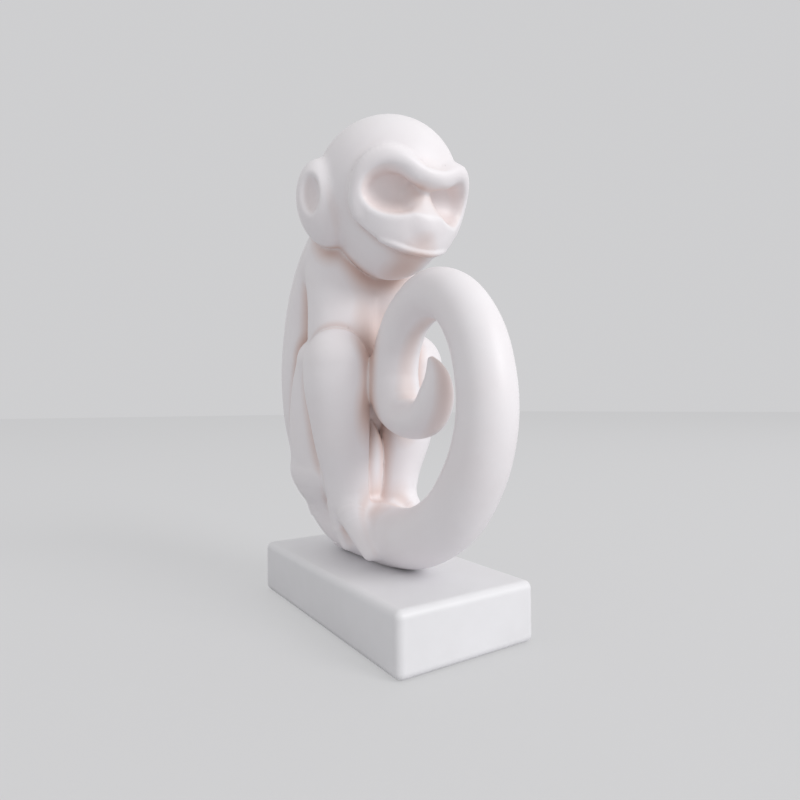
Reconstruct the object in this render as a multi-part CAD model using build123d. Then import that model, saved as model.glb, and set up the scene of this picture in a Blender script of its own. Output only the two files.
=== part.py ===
from build123d import *
import os
from math import cos, radians, sin

# A sitting monkey figurine on a plinth. Each member is a casting of its own, pinned to its
# neighbour with dowels, and the tail's bow is screwed down through the plinth.
# The origin is the centre of the plinth's underside. +Z is up and the monkey looks along -Y,
# so its right side is -X.

# Plinth, with a felt sheet let into its underside
plinth_width = 52.5
plinth_length = 103.3
plinth_height = 20.0
plinth_edge_radius = 2.5
felt_thickness = 1.0
felt_proud = 0.2
felt_margin = 4.0
felt_corner_radius = 3.0
felt_clearance = 0.15

# Screws that hold the tail's bow to the plinth
screw_spacing = 18.0
screw_diameter = 5.0
screw_length = 22.0
screw_head_diameter = 8.5
screw_head_height = 3.4
screw_socket_width = 4.0
screw_socket_depth = 2.0
screw_edge_radius = 0.4
screw_clearance = 0.25
washer_diameter = 10.0
washer_thickness = 1.0
washer_clearance = 0.4
counterbore_depth = 6.5
insert_diameter = 7.0
insert_length = 10.0
insert_groove_width = 1.2
insert_groove_depth = 0.4
insert_well_depth = 1.5
insert_sink = 1.0
thread_clearance = 0.05

# Dowels and their holes
dowel_clearance = 0.1
dowel_end_gap = 0.4
dowel_chamfer = 0.4
neck_dowel_diameter = 8.0
neck_dowel_length = 24.0
neck_dowel_wall = 0.5
tail_dowel_diameter = 8.0
tail_dowel_length = 24.0
ear_pin_diameter = 3.0
ear_pin_length = 5.0
ear_pin_sink = 1.0
face_pin_diameter = 2.5
face_pin_length = 3.6
face_pin_spread = 8.0
face_pin_rise = 10.0
shoulder_pin_diameter = 4.0
shoulder_pin_length = 14.0
shoulder_pin_drop = 30.0
hip_pin_diameter = 5.0
hip_pin_length = 14.0
hip_pin_rise = 22.0
knee_pin_diameter = 4.0
knee_pin_length = 12.0
knee_pin_drop = 22.0
foot_pin_diameter = 3.0
foot_pin_length = 8.0

# Tail, from the flat joint under the torso, forward along the plinth, up and over, and down
# again into a closed curl
tail_thickness = 20.4
tail_reach = 85.5
tail_rise = 83.4
tail_setback = 26.0
tail_seat_depth = 0.3
# Each row is forward from the root, up from the bow's lowest axis, downward tilt in degrees
# of the run, girth in the plane of symmetry and girth across it.
tail_shares = (
    (0.000, 0.1940, 0, 1.815, 1.795),
    (0.014, 0.1150, 20, 1.665, 1.670),
    (0.070, 0.0470, 48, 1.395, 1.450),
    (0.164, 0.0130, 70, 1.155, 1.270),
    (0.281, 0.0010, 85, 1.060, 1.155),
    (0.421, 0.0000, 95, 1.025, 1.060),
    (0.608, 0.0350, 112, 1.008, 1.012),
    (0.795, 0.1420, 137, 0.980, 0.980),
    (0.924, 0.2980, 160, 0.940, 0.940),
    (0.990, 0.4660, 177, 0.900, 0.900),
    (0.998, 0.6340, 189, 0.880, 0.880),
    (0.947, 0.8140, 211, 0.860, 0.860),
    (0.836, 0.9520, 240, 0.835, 0.835),
    (0.690, 1.0000, 272, 0.810, 0.810),
    (0.548, 0.9450, 311, 0.785, 0.785),
    (0.471, 0.8320, 340, 0.765, 0.770),
    (0.444, 0.7180, 356, 0.810, 0.810),
    (0.458, 0.6160, 382, 0.880, 0.880),
    (0.515, 0.5520, 415, 0.960, 0.960),
    (0.600, 0.5320, 448, 0.965, 0.980),
    (0.678, 0.5660, 487, 0.790, 0.860),
    (0.711, 0.6340, 515, 0.560, 0.660),
    (0.696, 0.7100, 548, 0.270, 0.380),
    (0.676, 0.7480, 560, 0.080, 0.120),
)
bow_axis_height = plinth_height + tail_thickness / 2 - tail_seat_depth
bow_top = bow_axis_height + tail_thickness / 2
rump_height = bow_axis_height + tail_shares[0][1] * tail_rise

# Torso, from the flat joint on the tail's root up to the shoulders
torso_width = 50.4
torso_depth = 46.0
torso_height = 102.0
torso_lean = 13.0
shoulder_height = rump_height + torso_height
# Each row is height, forward lean, width and depth.
torso_shares = (
    (0.000, 0.00, 0.726, 0.804),
    (0.070, 0.03, 0.853, 0.883),
    (0.147, 0.06, 0.925, 0.935),
    (0.235, 0.06, 0.972, 0.970),
    (0.333, 0.02, 0.992, 0.991),
    (0.431, 0.00, 1.000, 1.000),
    (0.569, 0.11, 0.992, 0.978),
    (0.662, 0.21, 0.972, 0.957),
    (0.725, 0.31, 0.952, 0.935),
    (0.784, 0.43, 0.925, 0.913),
    (0.843, 0.55, 0.873, 0.870),
    (0.907, 0.75, 0.794, 0.783),
    (0.970, 0.92, 0.600, 0.600),
    (1.000, 1.00, 0.380, 0.380),
)

# Head, an egg whose chin is sunk between the shoulders
head_width = 51.0
head_depth = 58.0
head_height = 59.0
chin_drop = 25.6
crown_forward = 4.5
jaw_forward = 4.5
chin_height = shoulder_height - chin_drop
# Each row is height, forward shift, width and depth.
head_shares = (
    (0.000, 1.00, 0.040, 0.040),
    (0.012, 1.00, 0.190, 0.190),
    (0.045, 1.00, 0.350, 0.340),
    (0.100, 1.00, 0.485, 0.475),
    (0.178, 0.90, 0.630, 0.620),
    (0.280, 0.35, 0.785, 0.800),
    (0.381, 0.08, 0.915, 0.915),
    (0.500, 0.00, 0.990, 0.988),
    (0.600, 0.00, 1.000, 1.000),
    (0.700, 0.00, 0.962, 0.965),
    (0.780, 0.00, 0.875, 0.878),
    (0.860, 0.00, 0.735, 0.738),
    (0.925, 0.00, 0.560, 0.560),
    (0.970, 0.00, 0.365, 0.365),
    (0.992, 0.00, 0.190, 0.190),
    (1.000, 0.00, 0.040, 0.040),
)

# Face, a plate that stands proud of the head, thickest along the brow, with two deep eye hollows
face_thickness = 3.0
brow_thickness = 4.2
face_half_width = 24.5
face_height = 32.5
face_rise = 4.0
face_rim_setback = 15.0
# Each row is sideways and up, round one side from the middle of the brow to that of the lip.
face_outline_shares = (
    (0.00, 0.860),
    (0.26, 0.885),
    (0.45, 0.960),
    (0.68, 1.000),
    (0.90, 0.920),
    (1.00, 0.730),
    (0.96, 0.520),
    (0.80, 0.330),
    (0.55, 0.140),
    (0.27, 0.020),
    (0.00, 0.000),
)
# How much of the extra brow thickness each of the head's rows gets
brow_shares = (0, 0, 0, 0, 0, 0, 0, 0.4, 1.0, 0.3, 0, 0, 0, 0, 0, 0)
eye_spread = 11.2
eye_rise = 23.3
eye_proud = 1.5
eye_width = 17.5
eye_depth = 17.0
eye_tallness = 12.5

# Ears, oval cups that open sideways
ear_thickness = 10.6
ear_depth = 22.4
ear_height = 30.0
ear_bulge = 1.9
ear_rise = 26.0
ear_bowl_depth = 4.4
ear_bowl_width = 12.5
ear_bowl_height = 19.5

# Arms, two columns side by side under the chin. Each is planted on an upright flat of the
# torso and ends behind its knee.
arm_width = 23.8
arm_depth = 27.0
arm_height = 53.0
arm_back = 8.5
arm_lean = 7.0
arm_gap = 0.2
chest_seat = 14.0
# Each row is height, backward lean, width and depth.
arm_shares = (
    (0.00, 0.03, 0.975, 0.950),
    (0.15, 0.08, 1.000, 0.970),
    (0.41, 0.22, 1.000, 1.000),
    (0.64, 0.50, 0.960, 0.970),
    (0.80, 0.78, 0.860, 0.880),
    (0.91, 0.93, 0.690, 0.700),
    (1.00, 1.00, 0.380, 0.400),
)

# Legs, drawn up in front. The thigh is folded against the back of the shin along a sloping
# seam, and the foot runs on from the shin, down the tail's flank.
knee_rise = 85.5
knee_spread = 16.5
ankle_outset = -1.0
shin_width = 23.6
shin_depth = 25.6
shin_back = 3.8
foot_reach = 17.5
foot_splay = 3.0
ankle_spread = tail_thickness / 2 + ankle_outset
# Each row is height, inward shift, forward shift, outward splay, forward tilt in degrees,
# width and depth.
shin_shares = (
    (0.030, 1.00, 1.00, 1.00, 52, 0.090, 0.080),
    (0.040, 1.00, 0.96, 1.00, 52, 0.200, 0.160),
    (0.072, 1.00, 0.84, 1.00, 50, 0.290, 0.220),
    (0.125, 1.00, 0.58, 0.95, 48, 0.370, 0.300),
    (0.180, 1.00, 0.28, 0.75, 40, 0.460, 0.400),
    (0.235, 0.98, 0.02, 0.40, 22, 0.560, 0.520),
    (0.300, 0.86, -0.11, 0.10, 8, 0.640, 0.610),
    (0.370, 0.68, -0.10, 0.00, 0, 0.710, 0.675),
    (0.480, 0.44, -0.06, 0.00, 0, 0.815, 0.770),
    (0.620, 0.20, -0.02, 0.00, 0, 0.920, 0.880),
    (0.750, 0.03, 0.00, 0.00, 0, 1.000, 0.980),
    (0.845, 0.00, 0.00, 0.00, 0, 1.000, 1.000),
    (0.915, 0.03, 0.00, 0.00, 0, 0.840, 0.860),
    (0.965, 0.05, -0.01, 0.00, 0, 0.570, 0.600),
    (0.992, 0.05, -0.02, 0.00, 0, 0.270, 0.280),
    (1.000, 0.05, -0.02, 0.00, 0, 0.070, 0.070),
)
seam_low = 13.5
seam_high = 4.5
thigh_width = 20.6
thigh_depth = 34.0
thigh_height = 52.0
thigh_spread = 17.6
thigh_back = 15.6
thigh_shift = 5.0
hip_seat = 24.0
hip_gap = 0.5
thigh_top = rump_height + thigh_height
# Each row is height, inward shift, forward shift, width and depth.
thigh_shares = (
    (0.000, 0.36, -0.38, 0.777, 0.706),
    (0.056, 0.20, -0.28, 0.893, 0.853),
    (0.152, 0.08, -0.14, 0.971, 0.971),
    (0.344, 0.00, 0.00, 1.000, 1.000),
    (0.575, 0.02, 0.16, 1.000, 0.941),
    (0.767, 0.12, 0.36, 0.971, 0.853),
    (0.883, 0.18, 0.52, 0.913, 0.753),
    (0.960, 0.26, 0.66, 0.796, 0.635),
    (1.000, 0.32, 0.72, 0.660, 0.530),
)

# One overrun serves every cut that has to break through a surface
overrun = 2.0


def oval(width, depth):
    """A flat oval whose seam always lies on its own X axis, so that lofts don't twist."""
    return scale(Circle(1), by=(width / 2, depth / 2, 1))


def ellipsoid(width, depth, height):
    return scale(Sphere(1), by=(width / 2, depth / 2, height / 2))


def level_loft(rows, width, depth):
    """A closed body through level ovals. Each row is a centre and two girth shares."""
    sections = [
        Plane(origin=(x, y, z)) * oval(width_share * width, depth_share * depth)
        for x, y, z, width_share, depth_share in rows
    ]
    return loft(sections)


def surface_point(body, start, direction):
    """The first point where a line from outside meets a body."""
    line = Axis(start, direction)
    hits = [point for face in body.faces() for point, _ in face.find_intersection_points(line)]
    return min(hits, key=lambda point: (point - Vector(start)).dot(Vector(direction)))


def slab(x_span, y_span, z_span):
    """A block between two corners, given span by span."""
    size = [high - low for low, high in (x_span, y_span, z_span)]
    middle = [(low + high) / 2 for low, high in (x_span, y_span, z_span)]
    return Pos(*middle) * Box(*size)


def dowel(diameter, length, centre, direction):
    """A pin with chamfered ends."""
    pin = Cylinder(diameter / 2, length)
    pin = chamfer(pin.edges().filter_by(GeomType.CIRCLE), dowel_chamfer)
    return Plane(origin=centre, z_dir=direction) * pin


def dowel_hole(diameter, length, centre, direction):
    hole = Cylinder(diameter / 2 + dowel_clearance, length + 2 * dowel_end_gap)
    return Plane(origin=centre, z_dir=direction) * hole


# A length beyond every member, for half-spaces
beyond = 2 * (tail_reach + torso_height + plinth_length)


def torso_form():
    rows = [
        (0, tail_setback - lean * torso_lean, rump_height + up * torso_height, wide, deep)
        for up, lean, wide, deep in torso_shares
    ]
    body = level_loft(rows, torso_width, torso_depth)
    body -= slab((-beyond, beyond), (-beyond, chest_seat), (0, beyond))
    hip_inside = thigh_spread - thigh_width / 2 - hip_gap
    for x_span in ((-beyond, -hip_inside), (hip_inside, beyond)):
        body -= slab(x_span, (-beyond, hip_seat), (0, thigh_top))
    return body


def head_form():
    rows = [
        (0, -crown_forward - ahead * jaw_forward, chin_height + up * head_height, wide, deep)
        for up, ahead, wide, deep in head_shares
    ]
    return level_loft(rows, head_width, head_depth)


def face_form():
    """The face plate's own region, before the head and the eyes are cut from it."""
    skin = [
        (
            0,
            -crown_forward - ahead * jaw_forward - brow * (brow_thickness - face_thickness),
            chin_height + up * head_height,
            wide + 2 * face_thickness / head_width,
            deep + 2 * face_thickness / head_depth,
        )
        for (up, ahead, wide, deep), brow in zip(head_shares, brow_shares)
    ]
    near_side = [(out * face_half_width, up * face_height) for out, up in face_outline_shares]
    far_side = [(-x, z) for x, z in near_side[-2:0:-1]]
    outline = make_face(Spline(near_side + far_side, periodic=True))
    foot = chin_height + face_rise
    region = Plane(origin=(0, -face_rim_setback, foot), x_dir=(1, 0, 0), z_dir=(0, -1, 0))
    return level_loft(skin, head_width, head_depth) & extrude(region * outline, head_depth)


def eye_hollow():
    """The right eye's hollow."""
    ahead = crown_forward + head_depth / 2 + eye_proud
    return Pos(-eye_spread, -ahead, chin_height + eye_rise) * ellipsoid(
        eye_width, eye_depth, eye_tallness
    )


def ear_form():
    """The right ear, a cup with a rounded lip that opens away from the head."""
    seat = Pos(-head_width / 2 - ear_bulge, ear_bulge - crown_forward, chin_height + ear_rise)
    bowl = Pos(-ear_thickness / 2, 0, 0) * ellipsoid(
        2 * ear_bowl_depth, ear_bowl_width, ear_bowl_height
    )
    return seat * (ellipsoid(ear_thickness, ear_depth, ear_height) - bowl)


def arm_form():
    """The right arm, which keeps to its own side of the middle and to the front of its seat."""
    rows = [
        (
            -(arm_width + arm_gap) / 2,
            arm_back + lean * arm_lean,
            thigh_top + up * arm_height,
            wide,
            deep,
        )
        for up, lean, wide, deep in arm_shares
    ]
    body = level_loft(rows, arm_width, arm_depth)
    return body & slab((-beyond, -arm_gap / 2), (-beyond, chest_seat), (0, beyond))


def seam_front():
    """The half-space in front of the sloping seam between shin and thigh."""
    high = plinth_height + knee_rise
    profile = Polyline(
        (seam_low, bow_top),
        (seam_high, high),
        (seam_high, beyond),
        (-beyond, beyond),
        (-beyond, 0),
        (seam_low, 0),
        close=True,
    )
    return extrude(Plane.YZ * make_face(profile), beyond, both=True)


def shin_form():
    """The right knee, shin and foot in one casting."""
    sections = []
    for up, into, ahead, splay, tilt, wide, deep in shin_shares:
        centre = (
            into * (knee_spread - ankle_spread) - splay * foot_splay - knee_spread,
            shin_back - ahead * foot_reach,
            plinth_height + up * knee_rise,
        )
        run = (0, sin(radians(tilt)), cos(radians(tilt)))
        station = Plane(origin=centre, x_dir=(1, 0, 0), z_dir=run)
        sections.append(station * oval(wide * shin_width, deep * shin_depth))
    return loft(sections) & seam_front()


def thigh_form():
    """The right thigh, between the hip's seat and the seam behind the shin."""
    rows = [
        (
            into * thigh_shift - thigh_spread,
            thigh_back - ahead * thigh_shift,
            rump_height + up * thigh_height,
            wide,
            deep,
        )
        for up, into, ahead, wide, deep in thigh_shares
    ]
    body = level_loft(rows, thigh_width, thigh_depth)
    return body & slab((-beyond, beyond), (-beyond, hip_seat), (0, beyond)) - seam_front()


def tail_form():
    sections = []
    for ahead, up, tilt, girth, breadth in tail_shares:
        run = (0, -sin(radians(tilt)), -cos(radians(tilt)))
        point = (0, tail_setback - ahead * tail_reach, bow_axis_height + up * tail_rise)
        station = Plane(origin=point, x_dir=(1, 0, 0), z_dir=run)
        sections.append(station * oval(breadth * tail_thickness, girth * tail_thickness))
    return loft(sections)


def above_plinth(body):
    return body & slab((-beyond, beyond), (-beyond, beyond), (plinth_height, beyond))


def screw_places():
    return [(0, step * screw_spacing / 2) for step in (-1, 1)]


def on_screws(piece, height):
    """One copy of a piece on each screw's axis."""
    return [Pos(x, y, height) * piece for x, y in screw_places()]


counterbore_top = felt_thickness + counterbore_depth
screw_seat = counterbore_top - washer_thickness
insert_foot = plinth_height + insert_sink


def plinth():
    body_height = plinth_height - felt_proud
    block = Box(plinth_width, plinth_length, body_height)
    block = fillet(block.edges(), plinth_edge_radius)
    body = Pos(0, 0, felt_proud + body_height / 2) * block
    recess_depth = felt_thickness - felt_proud
    recess = Pos(0, 0, felt_thickness) * felt_sheet(felt_clearance, recess_depth)
    counterbore = Cylinder(washer_diameter / 2 + washer_clearance, counterbore_depth)
    passage = Cylinder(screw_diameter / 2 + screw_clearance, plinth_height)
    body -= recess
    body -= on_screws(counterbore, felt_thickness + counterbore_depth / 2)
    return body - on_screws(passage, counterbore_top + plinth_height / 2)


def felt_sheet(growth, thickness):
    """The felt's outline, grown all round for its recess."""
    outline = RectangleRounded(
        plinth_width - 2 * (plinth_edge_radius + felt_margin - growth),
        plinth_length - 2 * (plinth_edge_radius + felt_margin - growth),
        felt_corner_radius + growth,
    )
    return Pos(0, 0, -thickness) * extrude(outline, thickness)


def fixing_screw():
    """A cap-head screw with a hexagonal socket, standing on its head."""
    head = Pos(0, 0, -screw_head_height / 2) * Cylinder(screw_head_diameter / 2, screw_head_height)
    head = fillet(head.edges().filter_by(GeomType.CIRCLE).sort_by(Axis.Z)[0], screw_edge_radius)
    socket = extrude(RegularPolygon(screw_socket_width / 2, 6, major_radius=False), screw_socket_depth)
    shank = Pos(0, 0, screw_length / 2) * Cylinder(screw_diameter / 2, screw_length)
    shank = chamfer(shank.edges().filter_by(GeomType.CIRCLE).sort_by(Axis.Z)[-1], screw_edge_radius)
    return head - Pos(0, 0, -screw_head_height) * socket + shank


def washer():
    hole = Cylinder(screw_diameter / 2 + screw_clearance, washer_thickness + overrun)
    return Cylinder(washer_diameter / 2, washer_thickness) - hole


def threaded_insert():
    """A brass bush with grooves that key it into the casting."""
    bush = Cylinder(insert_diameter / 2, insert_length)
    bush -= Cylinder(screw_diameter / 2 + thread_clearance, insert_length + overrun)
    band = Cylinder(insert_diameter / 2 + overrun, insert_groove_width)
    band -= Cylinder(insert_diameter / 2 - insert_groove_depth, insert_groove_width + overrun)
    for step in (-1, 1):
        bush -= Pos(0, 0, step * insert_length / 4) * band
    return bush


def insert_hole():
    depth = insert_sink + insert_length + insert_well_depth + overrun
    hole = Cylinder(insert_diameter / 2 + thread_clearance, depth)
    return Pos(0, 0, depth / 2 - overrun) * hole


def seam_setback(height):
    """How far back the seam between shin and thigh lies at a height."""
    low, high = bow_top, plinth_height + knee_rise
    return seam_low + (seam_high - seam_low) * (height - low) / (high - low)


def pin_table(head, tail):
    """Every dowel as node name, diameter, length, centre, direction and the two members it joins.

    Paired dowels are given once, for the right side.
    """
    up, back = (0, 0, 1), (0, 1, 0)
    shoulder_level = shoulder_height - shoulder_pin_drop
    hip_level = rump_height + hip_pin_rise
    knee_level = plinth_height + knee_rise - knee_pin_drop
    seam_slope = (seam_high - seam_low) / (plinth_height + knee_rise - bow_top)
    nape = chest_seat + neck_dowel_wall + neck_dowel_diameter / 2
    neck = surface_point(head, (0, nape, 0), up)
    rump = (0, tail_setback, rump_height)
    ear = surface_point(head, (-beyond, ear_bulge - crown_forward, chin_height + ear_rise), (1, 0, 0))
    ear += Vector(ear_pin_sink, 0, 0)
    cheek = surface_point(head, (-face_pin_spread, -beyond, chin_height + face_pin_rise), back)
    shoulder = (-arm_width / 2, chest_seat, shoulder_level)
    hip = (-thigh_spread, hip_seat, hip_level)
    knee = (-knee_spread, seam_setback(knee_level), knee_level)
    across_seam = (0, 1, -seam_slope)
    sole = surface_point(tail, (-ankle_spread, shin_back, beyond), (0, 0, -1))
    return [
        ("neck_dowel", neck_dowel_diameter, neck_dowel_length, neck, up, ("head", "torso")),
        ("tail_dowel", tail_dowel_diameter, tail_dowel_length, rump, up, ("tail", "torso")),
        ("ear_pins", ear_pin_diameter, ear_pin_length, ear, (1, 0, 0), ("head", "ear")),
        ("face_pins", face_pin_diameter, face_pin_length, cheek, back, ("head", "face_mask")),
        (
            "shoulder_pins",
            shoulder_pin_diameter,
            shoulder_pin_length,
            shoulder,
            back,
            ("torso", "arm"),
        ),
        ("hip_pins", hip_pin_diameter, hip_pin_length, hip, back, ("torso", "thigh")),
        ("knee_pins", knee_pin_diameter, knee_pin_length, knee, across_seam, ("thigh", "shin")),
        ("foot_pins", foot_pin_diameter, foot_pin_length, sole, up, ("tail", "shin")),
    ]


def build():
    """All nodes by name. The right side's members are made first and the left side mirrors them."""
    head = head_form()
    tail = above_plinth(tail_form())
    shin = above_plinth(shin_form()) - tail
    middle = {
        "head": head,
        "tail": tail,
        "torso": torso_form() - head,
        "face_mask": face_form() - head,
    }
    right = {
        "shin": shin,
        "thigh": thigh_form(),
        "arm": arm_form() - head - shin - tail,
        "ear": ear_form() - head,
    }
    pins = {}
    for name, diameter, length, centre, direction, hosts in pin_table(head, tail):
        hole = dowel_hole(diameter, length, centre, direction)
        pin = dowel(diameter, length, centre, direction)
        pins[name] = [pin, mirror(pin, Plane.YZ)] if name.endswith("pins") else [pin]
        for host in hosts:
            if host in right:
                right[host] -= hole
            else:
                middle[host] -= [hole, mirror(hole, Plane.YZ)] if name.endswith("pins") else hole
    for hollow in (eye_hollow(), mirror(eye_hollow(), Plane.YZ)):
        middle["face_mask"] -= hollow
        middle["head"] -= hollow
    middle["tail"] -= on_screws(insert_hole(), plinth_height)
    return {
        **middle,
        **{f"right_{name}": body for name, body in right.items()},
        **{f"left_{name}": mirror(body, Plane.YZ) for name, body in right.items()},
        **pins,
        "plinth": plinth(),
        "base_felt": Pos(0, 0, felt_thickness) * felt_sheet(0.0, felt_thickness),
        "fixing_screws": on_screws(fixing_screw(), screw_seat),
        "screw_washers": on_screws(washer(), screw_seat + washer_thickness / 2),
        "threaded_inserts": on_screws(threaded_insert(), insert_foot + insert_length / 2),
    }


os.makedirs("parts", exist_ok=True)
for name, body in build().items():
    if isinstance(body, list):
        body = Compound(children=body)
    export_step(body, f"parts/{name}.step")
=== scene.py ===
from math import cos, pi, radians, sin

import bpy
import numpy as np
from mathutils import Matrix, Vector


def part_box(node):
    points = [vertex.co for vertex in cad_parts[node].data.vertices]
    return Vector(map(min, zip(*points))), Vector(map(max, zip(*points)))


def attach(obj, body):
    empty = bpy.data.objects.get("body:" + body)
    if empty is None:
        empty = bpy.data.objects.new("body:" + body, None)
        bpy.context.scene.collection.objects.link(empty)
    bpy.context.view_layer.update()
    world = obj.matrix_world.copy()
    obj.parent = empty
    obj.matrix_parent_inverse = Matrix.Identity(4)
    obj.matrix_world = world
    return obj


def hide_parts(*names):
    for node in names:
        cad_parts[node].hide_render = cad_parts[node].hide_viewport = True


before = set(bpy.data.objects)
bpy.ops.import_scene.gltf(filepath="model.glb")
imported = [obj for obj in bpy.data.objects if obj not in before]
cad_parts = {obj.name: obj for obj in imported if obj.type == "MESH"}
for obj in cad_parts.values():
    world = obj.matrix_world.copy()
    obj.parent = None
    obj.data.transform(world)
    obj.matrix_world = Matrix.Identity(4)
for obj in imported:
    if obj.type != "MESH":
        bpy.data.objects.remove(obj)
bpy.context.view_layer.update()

# The figurine is modelled in millimetres as one field of signed distances, negative inside. Soft
# unions of its members give the rounded creases, and each casting is then meshed from its own
# share of the field, so that two castings meet on exactly the same seam.
mm = 0.001
quick_step, full_step = 0.7, 0.5
step = full_step
# These keep what is divided by off zero
least_reach, least_slope, least_length = 1e-6, 1e-9, 1e-12


def low(node):
    return [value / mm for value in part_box(node)[0]]


def high(node):
    return [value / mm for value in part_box(node)[1]]


plinth_top = high("plinth")[2]
rump_joint = low("torso")[2]

# Level ovals: height, sideways and backward place of the centre, half width, and depth to the
# front and to the back. The figurine's right side is on -X.
torso_ovals = (
    (46.1, 0.0, 26.0, 18.3, 18.5, 18.5),
    (53.0, 0.0, 27.4, 21.9, 19.0, 19.0),
    (61.0, 0.0, 29.2, 23.2, 19.0, 18.6),
    (70.0, 0.0, 30.8, 24.4, 19.5, 18.6),
    (80.0, 0.0, 31.5, 25.2, 19.5, 19.3),
    (90.0, 0.0, 31.6, 25.5, 19.5, 19.6),
    (104.0, 0.0, 30.2, 25.2, 18.5, 19.1),
    (113.5, 0.0, 28.8, 24.6, 18.0, 18.4),
    (120.0, 0.0, 26.9, 24.2, 17.5, 17.8),
    (126.0, 0.0, 24.8, 23.6, 17.5, 17.6),
    (132.0, 0.0, 22.2, 22.7, 17.5, 17.4),
    (138.5, 0.0, 19.0, 20.5, 16.0, 15.8),
    (144.0, 0.0, 16.5, 18.0, 15.0, 14.0),
)
# The belly between the legs, down to the tail's root
groin_centre, groin_axes, groin_blend = (0.0, 15.0, 62.0), (9.0, 12.0, 37.0), 3.0
# The torso's upper end leans forward, in millimetres for each millimetre up
torso_lean = -0.7
arm_ovals = (
    (52.0, -8.6, 23.0, 9.0, 9.0, 9.0),
    (60.0, -9.4, 19.0, 9.6, 9.4, 9.4),
    (70.0, -10.0, 14.6, 10.6, 10.0, 10.0),
    (80.0, -10.0, 12.0, 12.0, 11.0, 11.0),
    (92.0, -10.0, 12.0, 12.8, 12.0, 12.0),
    (106.0, -10.0, 12.0, 13.0, 12.0, 12.0),
    (120.0, -10.0, 12.5, 13.0, 12.0, 12.0),
    (132.0, -10.0, 14.0, 12.5, 12.5, 12.5),
    (138.0, -9.6, 14.4, 10.8, 10.8, 10.8),
)
shin_ovals = (
    (38.0, -9.2, 5.5, 6.7, 6.7, 6.7),
    (42.0, -10.3, 6.5, 7.6, 8.0, 8.0),
    (50.0, -11.5, 6.5, 8.3, 8.6, 8.6),
    (60.0, -13.3, 5.3, 9.6, 9.8, 9.8),
    (72.0, -15.0, 4.3, 10.8, 11.2, 11.2),
    (84.0, -16.3, 3.8, 11.8, 12.5, 12.5),
    (92.0, -16.5, 4.0, 11.8, 13.0, 13.0),
)
thigh_ovals = (
    (54.0, -15.0, 25.0, 9.6, 19.0, 7.5),
    (64.0, -15.8, 24.8, 9.8, 19.0, 8.0),
    (76.0, -16.0, 24.0, 9.6, 18.5, 8.0),
    (86.0, -16.2, 21.5, 9.4, 16.5, 8.0),
    (94.0, -16.4, 17.5, 9.2, 13.0, 8.0),
)
# Heights of the domes that close the members
torso_dome, arm_dome = 8.0, 7.0
shin_dome, ankle_dome, thigh_dome, thigh_foot_dome = 13.5, 6.0, 9.5, 12.5

# The tail's run in the plane of symmetry: back, up, half thickness and half breadth
tail_run = (
    (26.0, 46.1, 18.5, 18.3),
    (24.8, 39.5, 17.0, 17.0),
    (20.0, 33.8, 14.2, 14.8),
    (12.0, 31.0, 11.8, 13.0),
    (2.0, 30.0, 10.8, 11.8),
    (-10.0, 29.9, 10.5, 10.8),
    (-26.0, 32.8, 10.3, 10.3),
    (-42.0, 41.7, 10.0, 10.0),
    (-53.0, 54.8, 9.6, 9.6),
    (-58.7, 68.8, 9.2, 9.2),
    (-59.3, 82.8, 9.0, 9.0),
    (-55.0, 97.8, 8.8, 8.8),
    (-45.5, 109.3, 8.5, 8.5),
    (-33.0, 113.3, 8.3, 8.3),
    (-20.2, 108.3, 8.0, 8.1),
    (-12.6, 98.9, 8.0, 8.4),
    (-9.6, 89.8, 8.2, 9.0),
    (-9.9, 82.6, 8.3, 9.3),
    (-12.1, 77.4, 7.9, 9.1),
    (-16.6, 73.4, 6.8, 8.6),
    (-22.9, 71.8, 6.4, 8.2),
    (-29.1, 73.0, 6.2, 7.4),
    (-33.2, 76.6, 6.0, 6.6),
    (-35.2, 81.0, 5.5, 5.9),
    (-35.6, 85.3, 4.3, 4.6),
    (-34.4, 89.0, 2.9, 3.1),
    (-32.2, 92.4, 1.0, 1.2),
)
tail_rings, tail_sides, tail_fineness = 440, 96, 24

# The foot: balls along its ridge, from the ankle down the tail's flank to the toe, and those of
# the heel behind it, as place and radius
foot_balls = (
    (-11.4, 4.6, 42.0, 6.6),
    (-12.6, 1.2, 38.4, 5.0),
    (-13.0, -2.4, 35.0, 3.9),
    (-12.8, -5.8, 31.8, 3.3),
    (-12.3, -8.8, 28.8, 3.0),
    (-11.6, -11.4, 26.2, 2.8),
)
heel_balls = ((-11.5, 7.4, 40.0, 6.6), (-12.2, 7.2, 32.0, 4.2), (-11.6, 4.6, 26.5, 2.8))
foot_blend, web_blend = 1.2, 4.0

# Head: egg-shaped skull and a narrower jaw, as centre and half axes
skull_centre, skull_axes = (0.0, -4.5, 155.5), (25.5, 29.0, 26.0)
jaw_centre, jaw_axes = (0.0, -9.0, 142.0), (18.0, 20.0, 19.0)
jaw_blend = 5.0

# Face plate: it stands proud of the head. Its rim is given by points on its edge, and its wall is
# square to the head, on lines from a point inside.
face_thickness, face_rim_round, face_foot_round = 3.0, 1.8, 0.8
face_heart, face_reach = (0.0, -6.0, 147.0), 27.0
# Heights between which the rim is looked for, and how deep the plate goes into the head
face_low, face_high, face_depth = 120.0, 168.0, 9.0
face_rim = (
    (0.0, -35.5, 152.6),
    (-6.4, -35.0, 153.2),
    (-11.0, -33.2, 155.8),
    (-16.7, -29.2, 157.6),
    (-20.4, -25.2, 155.6),
    (-22.2, -22.2, 151.0),
    (-22.5, -20.7, 147.2),
    (-22.1, -19.5, 144.4),
    (-21.0, -18.6, 140.9),
    (-19.2, -18.4, 138.0),
    (-16.7, -20.3, 134.4),
    (-13.4, -22.6, 131.1),
    (-9.6, -24.2, 128.7),
    (-5.1, -25.2, 127.3),
    (0.0, -25.9, 126.9),
)
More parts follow.
